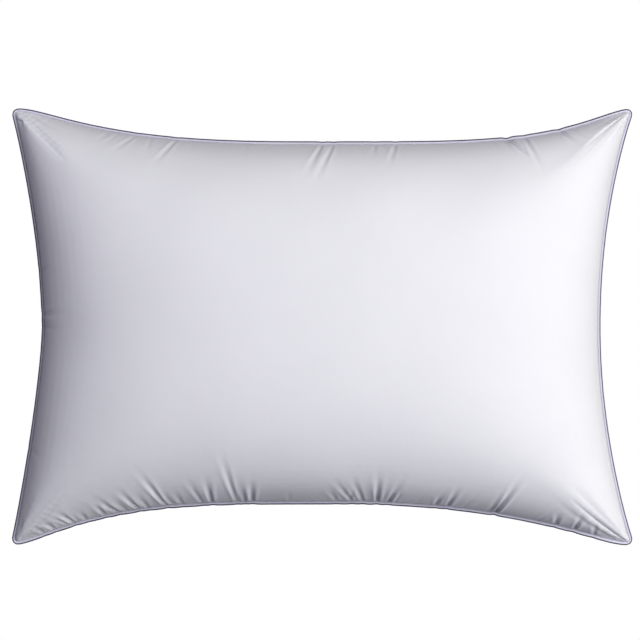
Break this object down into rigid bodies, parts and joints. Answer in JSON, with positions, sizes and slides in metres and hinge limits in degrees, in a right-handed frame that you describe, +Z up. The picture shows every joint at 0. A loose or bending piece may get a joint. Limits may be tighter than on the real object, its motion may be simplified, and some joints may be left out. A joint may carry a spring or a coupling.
{
  "type": "bed pillow",
  "caption": "Full rectangular bed pillow with a smooth woven cover, a fine corded edge, pulled-in sides and puckered seams, lying flat.",
  "frame": {"origin": "on the floor, under the middle of the pillow as it lies on its back panel", "axes": "+X along the pillow's length, +Y across its width, +Z up through its thickness and out of the front face"},
  "size_m": [0.6788, 0.4782, 0.1851],
  "materials": {
    "cover_cotton": "matte",
    "piping_cotton": "matte",
    "filler_cord": "matte",
    "sewing_thread": "satin",
    "inner_cotton": "matte",
    "soft_down": "matte",
    "firm_feather": "matte",
    "label_satin": "satin"
  },
  "bodies": {
    "root": {"front_cover_panel": "cover_cotton", "back_cover_panel": "cover_cotton", "piping_strip": "piping_cotton", "piping_cord": "filler_cord", "perimeter_seam_thread": "sewing_thread", "closing_seam_thread": "sewing_thread", "front_chamber_wall": "inner_cotton", "back_chamber_wall": "inner_cotton", "front_down_layer": "soft_down", "back_down_layer": "soft_down", "core_fill": "firm_feather", "care_label": "label_satin"}
  },
  "joints": []
}
